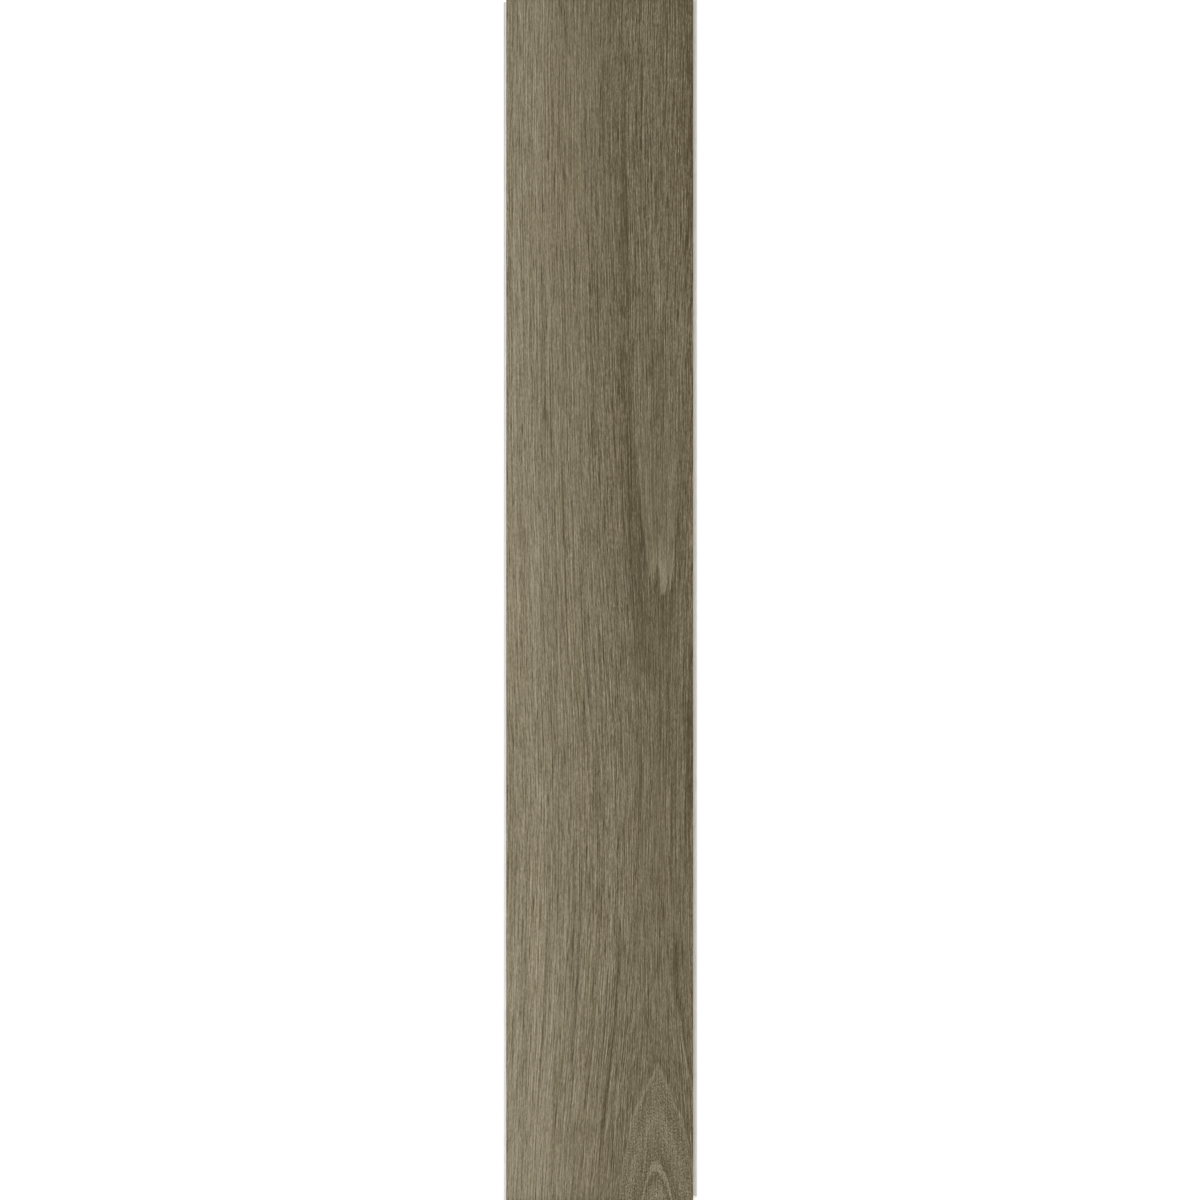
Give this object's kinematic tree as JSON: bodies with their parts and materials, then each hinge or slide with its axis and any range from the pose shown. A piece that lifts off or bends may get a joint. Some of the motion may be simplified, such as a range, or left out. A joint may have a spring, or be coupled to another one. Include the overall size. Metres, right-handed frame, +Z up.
{
  "type": "hybrid floor plank",
  "caption": "Long thin rigid-core floor plank with a taupe oak print, micro-bevelled edges and a click-lock tongue and groove on its long edges and ends.",
  "frame": {"origin": "centre of the printed face, dropped straight down to the underside", "axes": "+Z up, out of the printed face; +Y along the length, towards the grooved end; +X across the width, towards the grooved long edge"},
  "size_m": [0.1966, 1.2266, 0.0065],
  "materials": {
    "plank": "matte, embossed oak print"
  },
  "bodies": {
    "root": {"plank": "plank"}
  },
  "joints": []
}
